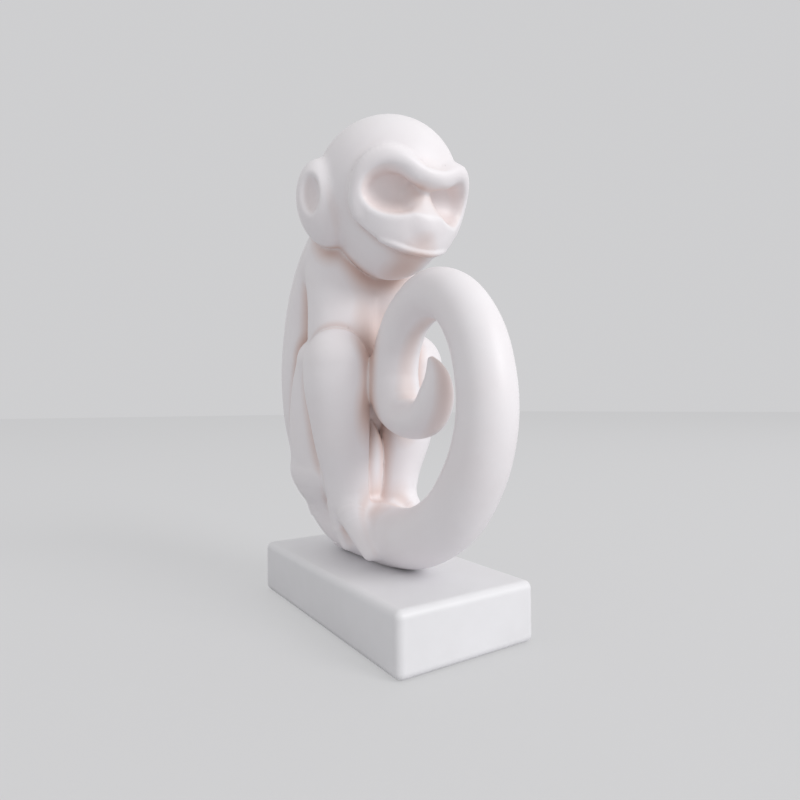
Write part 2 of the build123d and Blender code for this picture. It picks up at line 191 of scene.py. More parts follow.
# How far outside the rim the plate's seam lies, below and over the brow, and where that changes
low_margin, brow_margin, margin_heights = 1.6, 3.6, (149.0, 155.0)
# Brow: a roll along the plate's upper edge, as the points of its crest and its radius there. It and
# the lip follow a smooth curve with so many points.
brow_crest = (
    (-20.6, -19.2, 139.6, 1.8),
    (-22.4, -19.8, 143.6, 2.0),
    (-22.9, -20.8, 146.8, 2.2),
    (-22.7, -22.4, 150.2, 2.5),
    (-21.8, -25.0, 153.8, 3.0),
    (-19.6, -28.2, 156.2, 3.5),
    (-16.7, -31.0, 157.2, 3.8),
    (-13.6, -33.2, 156.4, 3.8),
    (-9.6, -35.1, 154.3, 3.6),
    (-6.4, -35.7, 152.2, 3.4),
    (-2.8, -35.9, 151.0, 3.2),
    (0.0, -36.0, 150.8, 3.2),
)
brow_blend, brow_count = 2.6, 61
# Eye hollows: turned to follow the plate, with a small one between them under the brow
eye_centre, eye_axes, eye_turn, eye_round = (-11.6, -31.0, 147.0), (11.4, 9.4, 7.6), radians(30), 3.0
bridge_centre, bridge_axes, bridge_round = (0.0, -36.0, 144.0), (7.5, 6.0, 6.2), 2.5
nose_balls = ((0.0, -25.4, 148.0, 3.8), (0.0, -26.2, 143.0, 4.6), (0.0, -27.4, 138.0, 5.2))
nose_blend = 3.0
# Lip: a thin bead along the plate's lower edge
lip_points = (
    (-13.5, -23.0, 131.6, 0.9),
    (-9.0, -25.9, 129.4, 1.0),
    (-4.5, -27.0, 128.2, 1.0),
    (0.0, -27.4, 127.9, 1.0),
)
lip_blend, lip_count = 0.9, 31
# The face plate's foot lies in a shallow moat, which ends below the brow
moat_width, moat_depth, moat_end = 2.6, 0.5, (146.0, 152.0)

# Ears: an oval cup that opens sideways and a little forwards, its lower end tucked in
ear_centre, ear_axes, ear_tilt = (-22.0, 0.6, 149.2), (9.8, 11.4, 15.4), radians(11)
# The cup ends a little short of the pin behind it
ear_bowl_axes, ear_pin_cover = (7.4, 4.7, 8.0), 0.5
ear_bowl_centre = (low("ear_pins")[0] - ear_pin_cover - ear_bowl_axes[0], -4.2, 149.4)
ear_bowl_round, ear_blend = 1.8, 2.2

# Radii of the soft creases between members, and the heights over which one turns into another
crease, breast_blend, rump_crease = 0.9, 4.0, 3.0
rump_blend, rump_heights = 7.0, (50.0, 64.0)
shoulder_extra, shoulder_heights = 5.0, (122.0, 138.0)
foot_heights = (44.0, 54.0)
# The neck's crease widens towards the nape, and is widest this far back
neck_blend, nape_blend, nape_back = 0.5, 9.0, 14.0
# Softer meeting of the knees and the tail's loop, and the heights over which it starts and ends
loop_blend, loop_start, loop_end = 2.5, (60.0, 72.0), (94.0, 102.0)
# Towards the back the foot's and the loop's soft meetings end here, and fade over this length
foot_back, loop_back, leg_fade = 6.0, 3.0, 6.0
# Grooves where one member lies against another: width, and depth at the member, and the heights
# over which they start or end
arm_groove, arm_groove_end = (9.0, 3.0), (120.0, 134.0)
thigh_groove, thigh_groove_start = (5.0, 1.5), (50.0, 62.0)
shin_groove, shin_groove_start, shin_groove_end = (8.0, 2.7), (46.0, 58.0), (84.0, 96.0)
knee_groove = (3.0, 0.6)
# The legs and the torso end as a thin sleeve on the tail, a hair proud of it, with the tail drawn
# in beneath. The sleeve reaches further from a member about the foot and rump than higher up, and
# the reach bounds a casting only where it is nearer to the tail than clear_of_tail.
sleeve_proud, sleeve_wall, tail_sink, clear_of_tail = 0.03, 1.0, 1.2, 3.0
sleeve_reach, low_sleeve_reach, sleeve_heights = 3.5, 7.0, (50.0, 62.0)
# Behind this place the tail ends level, at its joint with the torso
tail_root_back = 2.0

# The castings' two tones in the open, the warm shade painted into their hollows, and the plinth's two
# tones
open_colours, painted_shade_colour = ((0.85, 0.81, 0.83), (0.88, 0.855, 0.88)), (0.72, 0.53, 0.46, 1)
plinth_colours = (0.79, 0.785, 0.805), (0.83, 0.825, 0.85)
# The shades vary by this much of a wide noise and this much of a narrow one
cloud_share, patch_share = 0.7, 0.3
# How far off other surface is looked for, to tell how hollow a place is and so how much shade is painted
# there
hollow_reaches = (5.0, 10.0, 16.0)


class Space:
    """The block of sample points, with the figurine's plane of symmetry in its middle."""

    def __init__(self, half_width, back_span, up_span):
        count = int(half_width / step)
        self.x = (np.arange(2 * count) - count + 0.5) * step
        self.y = np.arange(back_span[0], back_span[1], step)
        self.z = np.arange(up_span[0], up_span[1], step)
        self.X = self.x[:, None, None].astype(np.float32)
        self.Y = self.y[None, :, None].astype(np.float32)
        self.Z = self.z[None, None, :].astype(np.float32)
        self.origin = np.array([self.x[0], self.y[0], self.z[0]])


space = Space(35.0, (-71.0, 53.0), (16.0, 184.0))
X, Y, Z = space.X, space.Y, space.Z


def soft_union(a, b, radius):
    """Union with a fillet of about the given radius in the crease."""
    share = np.clip(0.5 + 0.5 * (b - a) / radius, 0, 1)
    return b + (a - b) * share - radius * share * (1 - share)


def soft_cut(a, b, radius):
    """a without b, with a rounded edge."""
    return -soft_union(-a, b, radius)


def soft_overlap(a, b, radius):
    """What a and b share, with a rounded edge."""
    return -soft_union(-a, -b, radius)


def groove(body, member, sizes, share=1.0):
    """The body with its surface drawn in beside a member that lies against it."""
    width, depth = sizes
    near = 1 - np.clip(member / width, 0, 1)
    return body + depth * share * near * near


def mirrored(field):
    return field[::-1]


def height_share(first, last):
    """From 0 below the first height to 1 above the last."""
    share = np.clip((Z - first) / (last - first), 0, 1)
    return share * share * (3 - 2 * share)


def smooth_table(rows, knots, places):
    """A smooth curve through given rows, by natural cubic pieces in each column."""
    rows, knots = np.array(rows, float), np.array(knots, float)
    gap = np.diff(knots)
    slope = np.diff(rows, axis=0) / gap[:, None]
    count = len(knots)
    matrix, right = np.eye(count), np.zeros_like(rows)
    for i in range(1, count - 1):
        matrix[i, i - 1 : i + 2] = gap[i - 1], 2 * (gap[i - 1] + gap[i]), gap[i]
        right[i] = 3 * (slope[i] - slope[i - 1])
    bend = np.linalg.solve(matrix, right)
    piece = np.clip(np.searchsorted(knots, places) - 1, 0, count - 2)
    t = (places - knots[piece])[:, None]
    linear = slope - gap[:, None] * (2 * bend[:-1] + bend[1:]) / 3
    cubic = (bend[1:] - bend[:-1]) / (3 * gap[:, None])
    return rows[piece] + t * (linear[piece] + t * (bend[piece] + t * cubic[piece]))


def ellipsoid(centre, axes, turn=0.0, tilt=0.0):
    """An ellipsoid, turned about the upright axis or tilted about the forward axis."""
    a, b, c = axes
    dx, dy, dz = X - centre[0], Y - centre[1], Z - centre[2]
    dx, dy = dx * cos(turn) - dy * sin(turn), dx * sin(turn) + dy * cos(turn)
    dx, dz = dx * cos(tilt) + dz * sin(tilt), dz * cos(tilt) - dx * sin(tilt)
    u, v, w = dx / a, dy / b, dz / c
    reach = np.sqrt(u * u + v * v + w * w) + least_reach
    steep = np.sqrt((u / a) ** 2 + (v / b) ** 2 + (w / c) ** 2) / reach + least_reach
    return (reach - 1) / steep


def column(ovals, dome_below, dome_above, lean=0.0):
    """A member that is given by level ovals, closed with a dome at each end, the upper leaning."""
    heights = [row[0] for row in ovals]
    inside = np.clip(space.z, heights[0], heights[-1])
    table = smooth_table([row[1:] for row in ovals], heights, inside)
    table[:, 1] += lean * np.maximum(space.z - heights[-1], 0)
    rate = np.gradient(table, space.z, axis=0)
    cx, cy, a, front, back = (table[:, i][None, None, :].astype(np.float32) for i in range(5))
    cx_rate, cy_rate, a_rate, front_rate, back_rate = (
        rate[:, i][None, None, :].astype(np.float32) for i in range(5)
    )
    b, b_rate = np.where(Y < cy, front, back), np.where(Y < cy, front_rate, back_rate)
    below, above = np.minimum(space.z - heights[0], 0), np.maximum(space.z - heights[-1], 0)
    w = (below / dome_below + above / dome_above)[None, None, :].astype(np.float32)
    w_rate = ((below < 0) / dome_below + (above > 0) / dome_above)[None, None, :].astype(np.float32)
    u, v = (X - cx) / a, (Y - cy) / b
    reach = np.sqrt(u * u + v * v + w * w) + least_reach
    up = (u * (-cx_rate - u * a_rate) / a + v * (-cy_rate - v * b_rate) / b + w * w_rate) / reach
    steep = np.sqrt(((u / a) ** 2 + (v / b) ** 2) / reach**2 + up * up) + least_reach
    return (reach - 1) / steep


def ball_chain(balls):
    """Tapered rods from ball to ball."""
    found = None
    for (x0, y0, z0, r0), (x1, y1, z1, r1) in zip(balls, balls[1:]):
        ax, ay, az = x1 - x0, y1 - y0, z1 - z0
        px, py, pz = X - x0, Y - y0, Z - z0
        share = np.clip((px * ax + py * ay + pz * az) / (ax * ax + ay * ay + az * az), 0, 1)
        away = np.sqrt((px - share * ax) ** 2 + (py - share * ay) ** 2 + (pz - share * az) ** 2)
        rod = away - (r0 + (r1 - r0) * share)
        found = rod if found is None else np.minimum(found, rod)
    return found


def smooth_points(points, count):
    """Evenly spaced points on a smooth curve through a few points."""
    points = np.array(points, float)
    along = np.concatenate([[0], np.cumsum(np.linalg.norm(np.diff(points[:, :3], axis=0), axis=1))])
    return smooth_table(points, along, np.linspace(0, along[-1], count))


# The chart of the plate's rim: its grid, how many points follow half the rim, how far ahead of the
# point inside the head it starts, and the distance that stands for everywhere else
chart_step, rim_count, chart_ahead, far_off = 0.5, 120, 2.0, 20.0


def bearing(x, y, z):
    """Place on a chart of the head's front: round it and up, in millimetres at the plate."""
    dx, dy, dz = x - face_heart[0], y - face_heart[1], z - face_heart[2]
    level = np.hypot(dx, dy)
    return face_reach * np.arctan2(dx, -dy), face_reach * np.arctan2(dz, level)


def rim_chart(across):
    """Signed distance to the face plate's rim on the chart."""
    half = smooth_points(face_rim, rim_count)
    loop = np.concatenate([half, (half * [-1, 1, 1])[-2:0:-1]])
    loop_x, loop_z = bearing(*loop.T)
    gx, gz = np.meshgrid(across, across, indexing="ij")
    nearest, crossings = np.full(gx.shape, np.inf), np.zeros(gx.shape, int)
    for x0, z0, x1, z1 in zip(loop_x, loop_z, np.roll(loop_x, -1), np.roll(loop_z, -1)):
        dx, dz = x1 - x0, z1 - z0
        share = np.clip(((gx - x0) * dx + (gz - z0) * dz) / (dx * dx + dz * dz + least_length), 0, 1)
        nearest = np.minimum(nearest, (gx - x0 - share * dx) ** 2 + (gz - z0 - share * dz) ** 2)
        if z0 != z1:
            crossings += ((z0 > gz) != (z1 > gz)) & (gx < (x1 - x0) * (gz - z0) / (z1 - z0) + x0)
    return np.where(crossings % 2 == 1, -1, 1) * np.sqrt(nearest)


def rim_distance():
    """Signed distance to the face plate's rim, measured round the head from a point inside it."""
    across = np.arange(-face_reach * pi / 2, face_reach * pi / 2, chart_step)
    table = rim_chart(across)
    field = np.full((X.size, Y.size, Z.size), far_off, np.float32)
    ahead = slice(0, np.searchsorted(space.y, face_heart[1] - chart_ahead))
    level = slice(np.searchsorted(space.z, face_low), np.searchsorted(space.z, face_high))
    px, pz = bearing(X, Y[:, ahead], Z[:, :, level])
    px, pz = ((p - across[0]) / chart_step for p in np.broadcast_arrays(px, pz))
    i, j = (np.clip(p.astype(int), 0, len(across) - 2) for p in (px, pz))
    u, v = px - i, pz - j
    field[:, ahead, level] = (
        table[i, j] * (1 - u) * (1 - v) + table[i + 1, j] * u * (1 - v)
        + table[i, j + 1] * (1 - u) * v + table[i + 1, j + 1] * u * v
    )
    return field


def on_head_side(points, centre, axes):
    """The axis of a roll, moved in from its crest by its own radius."""
    moved = []
    for x, y, z, radius in points:
        outward = np.array([(x - centre[0]) / axes[0] ** 2, (y - centre[1]) / axes[1] ** 2,
                            (z - centre[2]) / axes[2] ** 2])
        outward /= np.linalg.norm(outward)
        moved.append((*(np.array([x, y, z]) - radius * outward), radius))
    return moved


def both_sides(points):
    """Points that end on the middle plane, continued on the other side."""
    return list(points) + [(-x, y, z, r) for x, y, z, r in reversed(points[:-1])]


def new_object(name, data):
    """A new object in the scene, at the origin."""
    holder = bpy.data.objects.new(name, data)
    bpy.context.scene.collection.objects.link(holder)
    return holder


# The tail is built with geometry nodes: a smooth curve through its stations, swept with a round
# section and widened sideways
def tree_socket(tree, name, kind, default):
    socket = tree.interface.new_socket(name=name, in_out="INPUT", socket_type=kind)
    socket.default_value = default
    return socket


def tail_tree(material):
    tree = bpy.data.node_groups.new("tail_sweep", "GeometryNodeTree")
    tree.interface.new_socket(name="Stations", in_out="INPUT", socket_type="NodeSocketGeometry")
    rings = tree_socket(tree, "Rings", "NodeSocketInt", tail_rings)
    sides = tree_socket(tree, "Sides", "NodeSocketInt", tail_sides)
    tree.interface.new_socket(name="Tail", in_out="OUTPUT", socket_type="NodeSocketGeometry")

    def add(kind, values=None, settings=None):
        """A node's outputs, with its settings and the values or links of its inputs set."""
        node = tree.nodes.new(kind)
        for key, value in (settings or {}).items():
            setattr(node, key, value)
        for key, value in (values or {}).items():
            if isinstance(value, bpy.types.NodeSocket):
                tree.links.new(value, node.inputs[key])
            else:
                node.inputs[key].default_value = value
        return node.outputs

    def attribute(name):
        settings = {"data_type": "FLOAT"}
        return add("GeometryNodeInputNamedAttribute", {"Name": name}, settings)["Attribute"]

    given = add("NodeGroupInput")
    curve = add("GeometryNodeMeshToCurve", {"Mesh": given["Stations"]})["Curve"]
    curve = add("GeometryNodeCurveSplineType", {"Curve": curve}, {"spline_type": "CATMULL_ROM"})["Curve"]
    fineness = {"Geometry": curve, "Resolution": tail_fineness}
    curve = add("GeometryNodeSetSplineResolution", fineness)["Geometry"]
    curve = add("GeometryNodeSetCurveRadius", {"Curve": curve, "Radius": attribute("girth")})["Curve"]
    curve = add("GeometryNodeResampleCurve", {"Curve": curve, "Count": given["Rings"]})["Curve"]
    round_section = {"Radius": 1.0, "Resolution": given["Sides"]}
    sweep = add("GeometryNodeCurveToMesh", {
        "Curve": curve,
        "Profile Curve": add("GeometryNodeCurvePrimitiveCircle", round_section)["Curve"],
        "Scale": add("GeometryNodeInputRadius")["Radius"],
        "Fill Caps": True,
    })["Mesh"]
    place = add("GeometryNodeInputPosition")["Position"]
    factor = add("ShaderNodeCombineXYZ", {"X": attribute("breadth"), "Y": 1.0, "Z": 1.0})["Vector"]
    widened = add("ShaderNodeVectorMath", {0: place, 1: factor}, {"operation": "MULTIPLY"})["Vector"]
    tail = add("GeometryNodeSetPosition", {"Geometry": sweep, "Position": widened})["Geometry"]
    tail = add("GeometryNodeRealizeInstances", {"Geometry": tail})["Geometry"]
    tail = add("GeometryNodeSetMaterial", {"Geometry": tail, "Material": material})["Geometry"]
    add("NodeGroupOutput", {"Tail": tail})
    return tree, rings.identifier, sides.identifier


def sweep_tail(material):
    """The tail's mesh, and the centre, half thickness and half breadth of each of its rings."""
    stations = bpy.data.meshes.new("tail_stations")
    places = [(0.0, y * mm, z * mm) for y, z, _, _ in tail_run]
    stations.from_pydata(places, [(i, i + 1) for i in range(len(places) - 1)], [])
    girth = stations.attributes.new("girth", "FLOAT", "POINT")
    girth.data.foreach_set("value", [half * mm for _, _, half, _ in tail_run])
    breadth = stations.attributes.new("breadth", "FLOAT", "POINT")
    breadth.data.foreach_set("value", [wide / half for _, _, half, wide in tail_run])
    holder = new_object("tail_stations", stations)
    tree, rings, sides = tail_tree(material)
    modifier = holder.modifiers.new("sweep", "NODES")
    modifier.node_group = tree
    modifier[rings] = tail_rings
    modifier[sides] = tail_sides
    ready = holder.evaluated_get(bpy.context.evaluated_depsgraph_get())
    mesh = bpy.data.meshes.new_from_object(ready)
    holder.modifiers.remove(modifier)
    bpy.data.objects.remove(holder)
    points = np.zeros(len(mesh.vertices) * 3, np.float32)
    mesh.vertices.foreach_get("co", points)
    rings = points.reshape(-1, tail_sides, 3)[:tail_rings] / mm
    centres = rings.mean(axis=1)
    halves = np.linalg.norm((rings - centres[:, None])[:, :, 1:], axis=2).max(axis=1)
    breadths = np.abs(rings[:, :, 0]).max(axis=1)
    return mesh, centres[:, 1], centres[:, 2], halves, breadths


def tail_field(centre_y, centre_z, halves, breadths):
    """Distance to the tail, whose run is flat, so that its nearest ring depends on y and z only."""
    gy, gz = np.meshgrid(space.y, space.z, indexing="ij")
    best = np.full(gy.shape, np.inf)
    off, half, wide = (np.zeros(gy.shape, np.float32) for _ in range(3))
    for y, z, r, w in zip(centre_y, centre_z, halves, breadths):
        away = np.hypot(gy - y, gz - z)
        nearer = away - r < best
        best[nearer] = (away - r)[nearer]
        off[nearer] = away[nearer]
        half[nearer] = r
        wide[nearer] = w
    u, v = off[None] / half[None], X / wide[None]
    reach = np.sqrt(u * u + v * v) + least_reach
    steep = np.sqrt((u / half[None]) ** 2 + (v / wide[None]) ** 2) / reach + least_reach
    return ((reach - 1) / steep).astype(np.float32)


# Meshing: one vertex for each sample cell that the surface passes through, moved onto the surface,
# or onto the line where the surface meets the seam
corners = np.array([(i, j, k) for i in (0, 1) for j in (0, 1) for k in (0, 1)])
newton_rounds = 6
# The least angle, as its squared sine, at which skin and seam are taken to cross in a line
least_spread = 0.02
# How near to the surface counts as on it, in steps, and how far out of its cell a vertex may go
on_surface_share, cell_overrun = 0.05, 0.2
# Cells kept round a casting, and how well an outer face has to follow the field's slope
spare_cells, least_facing = 2, 0.6


def trilinear(values, place):
    """A cell's value and gradient at a place inside it, from its eight corners."""
    value, slope = 0.0, [0.0, 0.0, 0.0]
    for number, corner in enumerate(corners):
        shares = [place[:, i] if corner[i] else 1 - place[:, i] for i in range(3)]
        signs = [1 if corner[i] else -1 for i in range(3)]
        value = value + values[:, number] * shares[0] * shares[1] * shares[2]
        for i in range(3):
            rest = shares[(i + 1) % 3] * shares[(i + 2) % 3]
            slope[i] = slope[i] + values[:, number] * signs[i] * rest
    return value, np.stack(slope, axis=1)


def onto_surface(skin, cut, place):
    """Places in their cells, moved onto the skin, the seam or the line where both meet."""
    on_skin = (skin.min(axis=1) < 0) & (skin.max(axis=1) >= 0)
    on_cut = (cut.min(axis=1) < 0) & (cut.max(axis=1) >= 0)
    for _ in range(newton_rounds):
        f, gf = trilinear(skin, place)
        g, gg = trilinear(cut, place)
        ff, fg, gg2 = (gf * gf).sum(1), (gf * gg).sum(1), (gg * gg).sum(1)
        spread = ff * gg2 - fg * fg
        both = on_skin & on_cut & (spread > least_spread * ff * gg2)
        safe = np.where(both, spread, 1)
        by_f, by_g = (fg * g - gg2 * f) / safe, (fg * f - ff * g) / safe
        line = by_f[:, None] * gf + by_g[:, None] * gg
        skin_move = -(f / (ff + least_slope))[:, None] * gf
        cut_move = -(g / (gg2 + least_slope))[:, None] * gg
        single = np.where(on_skin[:, None], skin_move, cut_move)
        place = place + np.where(both[:, None], line, single)
        place = np.clip(place, -cell_overrun, 1 + cell_overrun)
    f, gf = trilinear(skin, place)
    return place, on_skin & (np.abs(f) < on_surface_share * step), gf


def surface_net(skin, cut):
    """Vertices, quads and outer normals of the space where both fields are negative."""
    inside = np.maximum(skin, cut) < 0
    sizes = [n - 1 for n in inside.shape]
    total = np.zeros(sizes, np.int8)
    for i, j, k in corners:
        total += inside[i : i + sizes[0], j : j + sizes[1], k : k + sizes[2]]
    active = (total > 0) & (total < 8)
    number = np.full(sizes, -1, np.int32)
    number[active] = np.arange(active.sum())
    cells = np.argwhere(active)
    at_corners = [tuple((cells + corner).T) for corner in corners]
    skin_values = np.stack([skin[at] for at in at_corners], axis=1)
    cut_values = np.stack([cut[at] for at in at_corners], axis=1)
    solid = np.maximum(skin_values, cut_values)
    place, hits = np.zeros((len(cells), 3)), np.zeros(len(cells))
    for first, corner in enumerate(corners):
        for axis in range(3):
            if corner[axis]:
                continue
            second = first + (4, 2, 1)[axis]
            a, b = solid[:, first], solid[:, second]
            crossed = (a < 0) != (b < 0)
            share = np.where(crossed, a / np.where(crossed, a - b, 1), 0)
            point = np.repeat(corner[None, :].astype(float), len(cells), axis=0)
            point[:, axis] += share
            place += point * crossed[:, None]
            hits += crossed
    place, outer, normals = onto_surface(skin_values, cut_values, place / hits[:, None])
    quads = []
    for axis in range(3):
        before = np.take(inside, range(sizes[axis]), axis)
        after = np.take(inside, range(1, sizes[axis] + 1), axis)
        edges = np.argwhere(before != after)
        outward = before[tuple(edges.T)]
        b, c = np.eye(3, dtype=int)[(axis + 1) % 3], np.eye(3, dtype=int)[(axis + 2) % 3]
        ring = [number[tuple((edges - shift).T)] for shift in (b + c, c, 0 * b, b)]
        ring = np.stack(ring, axis=1)
        quads.append(np.where(outward[:, None], ring, ring[:, ::-1]))
    return cells + place, np.concatenate(quads), outer, normals


def make_mesh(name, points, quads):
    mesh = bpy.data.meshes.new(name)
    mesh.vertices.add(len(points))
    mesh.vertices.foreach_set("co", np.ascontiguousarray(points, np.float32).ravel())
    mesh.loops.add(quads.size)
    mesh.loops.foreach_set("vertex_index", np.ascontiguousarray(quads, np.int32).ravel())
    mesh.polygons.add(len(quads))
    mesh.polygons.foreach_set("loop_start", np.arange(0, quads.size, 4, dtype=np.int32))
    mesh.update(calc_edges=True)
    mesh.shade_smooth()
    return mesh


def unit(vectors):
    """The vectors at a length of one."""
    return vectors / (np.linalg.norm(vectors, axis=1)[:, None] + least_length)


def set_normals(mesh, quads, points, outer, normals):
    """Outer faces shade by the field's own slope, seam faces flat."""
    a, b, c, d = (points[quads[:, i]] for i in range(4))
    flat = unit(np.cross(c - a, d - b))
    facing = (flat * unit(normals[quads].mean(axis=1))).sum(1) > least_facing
    skin = outer[quads].all(axis=1) & facing
    at_corner = np.where(skin[:, None, None], unit(normals.reshape(-1, 3))[quads], flat[:, None, :])
    mesh.normals_split_custom_set(at_corner.reshape(-1, 3).astype(float).tolist())


def sample(field, points):
    """The field at places in millimetres, from the eight samples round each, or beyond the block
    from its nearest side."""
    at = (points - space.origin) / step
    outside = np.linalg.norm(at - np.clip(at, 0, np.array(field.shape) - 1), axis=1) * step
    low_at = np.clip(np.floor(at).astype(int), 0, np.array(field.shape) - 2)
    share, total = np.clip(at - low_at, 0, 1), outside
    for corner in corners:
        weight = np.prod(np.where(corner, share, 1 - share), axis=1)
        total = total + weight * field[tuple((low_at + corner).T)]
    return total


def note_hollows_for_shade(mesh, skin, points, normals):
    """How closely other surface surrounds each place, from 0 in the open to 1, kept on the mesh to paint
    shade by.
    """
    closed = 0.0
    for reach in hollow_reaches:
        room = sample(skin, points + reach * unit(normals)) / reach
        closed = closed + (1 - np.clip(room, 0, 1)) / len(hollow_reaches)
    layer = mesh.attributes.new("hollow", "FLOAT", "POINT")
    layer.data.foreach_set("value", closed.astype(np.float32))


def casting(name, skin, cut, material):
    """The casting that fills its own share of the skin."""
    near = (skin < spare_cells * step) & (cut < spare_cells * step)
    spans = []
    for axis in range(3):
        used = np.flatnonzero(near.any(axis=tuple(i for i in range(3) if i != axis)))
        spans.append(slice(max(used[0] - spare_cells, 0), used[-1] + spare_cells + 1))
    spans = tuple(spans)
    points, quads, outer, normals = surface_net(skin[spans], cut[spans])
    start = np.array([span.start for span in spans])
    points = space.origin + (points + start) * step
    mesh = make_mesh(name, points * mm, quads)
    note_hollows_for_shade(mesh, skin, points, normals)
    set_normals(mesh, quads, points, outer, normals)
    mesh.materials.append(material)
    return new_object(name, mesh)


# Finishes. A wire is a value in a material's node tree, and sums on it add Math nodes.
class Wire:
    def __init__(self, finish, socket):
        self.finish, self.socket = finish, socket

    def sum_of(self, operation, first, second):
        return self.finish.add("ShaderNodeMath", {"operation": operation}, {0: first, 1: second})

    def __add__(self, other):
        return self.sum_of("ADD", self, other)

    def __mul__(self, other):
        return self.sum_of("MULTIPLY", self, other)

    __radd__, __rmul__ = __add__, __mul__


class Finish:
    def __init__(self, name):
        self.material = bpy.data.materials.new(name)
        self.material.use_nodes = True
        self.tree = self.material.node_tree
        self.tree.nodes.clear()
        self.place = self.add("ShaderNodeTexCoord", output="Object")

    def add(self, kind, settings=None, values=None, output=0):
        """The wire from a new node, with its settings and the values or links of its sockets."""
        node = self.tree.nodes.new(kind)
        for key, value in (settings or {}).items():
            if key == "stops":
                for element, (position, shade) in zip(node.color_ramp.elements, value):
                    element.position, element.color = position, (*shade, 1)
            else:
                setattr(node, key, value)
        for key, value in (values or {}).items():
            if isinstance(value, Wire):
                self.tree.links.new(value.socket, node.inputs[key])
            else:
                node.inputs[key].default_value = value
        return Wire(self, node.outputs[output]) if node.outputs else None

    def noise(self, size, detail=3.0, roughness=0.5):
        """Noise whose features are about so many millimetres across."""
        values = {"Vector": self.place, "Scale": 1 / (size * mm)}
        return self.add("ShaderNodeTexNoise", {}, {**values, "Detail": detail, "Roughness": roughness})

    def between(self, share, first, second):
        """A colour between two, by a share that mostly runs from 0.3 to 0.7."""
        ramp = {"stops": ((0.3, first), (0.7, second))}
        return self.add("ShaderNodeValToRGB", ramp, {"Fac": share})

    def bump(self, height, strength, distance, under=None):
        """Relief, with its distance in millimetres, on top of the relief under it."""
        values = {"Height": height, "Strength": strength, "Distance": distance * mm}
        if under:
            values["Normal"] = under
        return self.add("ShaderNodeBump", {}, values)

    def surface(self, **values):
        named = {key.replace("_", " "): value for key, value in values.items()}
        self.add_output(self.add("ShaderNodeBsdfPrincipled", {}, named))
        return self.material

    def add_output(self, shader):
        self.add("ShaderNodeOutputMaterial", {}, {"Surface": shader})


def figure_finish():
    """Warm white cast resin, hand-finished: faintly uneven in colour, with a warm shade
    painted where it is hollow, and a fine matt tooth."""
    finish = Finish("warm_cast")
    cloud, patch = finish.noise(26.0, detail=2.0), finish.noise(7.0, detail=3.0)
    tooth, hand = finish.noise(0.35, detail=2.0), finish.noise(9.0, detail=2.0)
    # Painted shade: the hollow attribute mixes a warm darker colour into creases and recesses
    hollow = finish.add("ShaderNodeAttribute", {"attribute_name": "hollow"}, output="Fac")
    open_colour = finish.between(cloud * cloud_share + patch * patch_share, *open_colours)
    span = {"Value": hollow, "From Min": 0.2, "From Max": 1.0, "To Max": 0.75}
    depth = finish.add("ShaderNodeMapRange", {}, span)
    mixer = {"data_type": "RGBA", "blend_type": "MIX"}
    colour = finish.add("ShaderNodeMix", mixer, {0: depth, 6: open_colour, 7: painted_shade_colour}, 2)
    relief = finish.bump(hand, strength=0.25, distance=0.25)
    relief = finish.bump(tooth, strength=0.10, distance=0.03, under=relief)
    return finish.surface(Base_Color=colour, Roughness=0.40 + patch * 0.16, Normal=relief)


def plinth_finish():
    """Cooler white cast resin with a satin skin."""
    finish = Finish("cool_cast")
    cloud, patch = finish.noise(30.0, detail=2.0), finish.noise(5.0, detail=3.0)
    tooth, hand = finish.noise(0.4, detail=2.0), finish.noise(14.0, detail=2.0)
    colour = finish.between(cloud * cloud_share + patch * patch_share, *plinth_colours)
    relief = finish.bump(hand, strength=0.25, distance=0.3)
    relief = finish.bump(tooth, strength=0.08, distance=0.03, under=relief)
    return finish.surface(Base_Color=colour, Roughness=0.36 + patch * 0.14, Normal=relief)


def metal_finish(name, dark, pale, roughness):
    """Turned metal with a fine grain."""
    finish = Finish(name)
    grain, cloud = finish.noise(0.25, detail=3.0), finish.noise(3.0, detail=2.0)
    colour = finish.between(cloud, dark, pale)
    relief = finish.bump(grain, strength=0.08, distance=0.02)
    uneven = roughness + grain * 0.12
    return finish.surface(Base_Color=colour, Metallic=1.0, Roughness=uneven, Normal=relief)


def wood_finish():
    """Beech with its rings along the dowel."""
    finish = Finish("turned_beech")
    rings = finish.add(
        "ShaderNodeTexWave",
        {"bands_direction": "X"},
        {"Vector": finish.place, "Scale": 900.0, "Distortion": 3.0, "Detail": 2.0},
        "Fac",
    )
    colour = finish.between(rings, (0.62, 0.45, 0.28), (0.74, 0.58, 0.40))
    relief = finish.bump(rings, strength=0.2, distance=0.05)
    return finish.surface(Base_Color=colour, Roughness=0.55 + rings * 0.1, Normal=relief)


def felt_finish():
    """Dark felt, pressed from loose fibre."""
    finish = Finish("pressed_felt")
    fibre, cloud = finish.noise(0.3, detail=4.0, roughness=0.7), finish.noise(6.0, detail=2.0)
    colour = finish.between(cloud * 0.5 + fibre * 0.5, (0.05, 0.05, 0.055), (0.13, 0.13, 0.14))
    relief = finish.bump(fibre, strength=0.7, distance=0.2)
    return finish.surface(Base_Color=colour, Roughness=0.9 + cloud * 0.08, Normal=relief)


def head_field():
    skull, jaw = ellipsoid(skull_centre, skull_axes), ellipsoid(jaw_centre, jaw_axes)
    return soft_union(skull, jaw, jaw_blend)


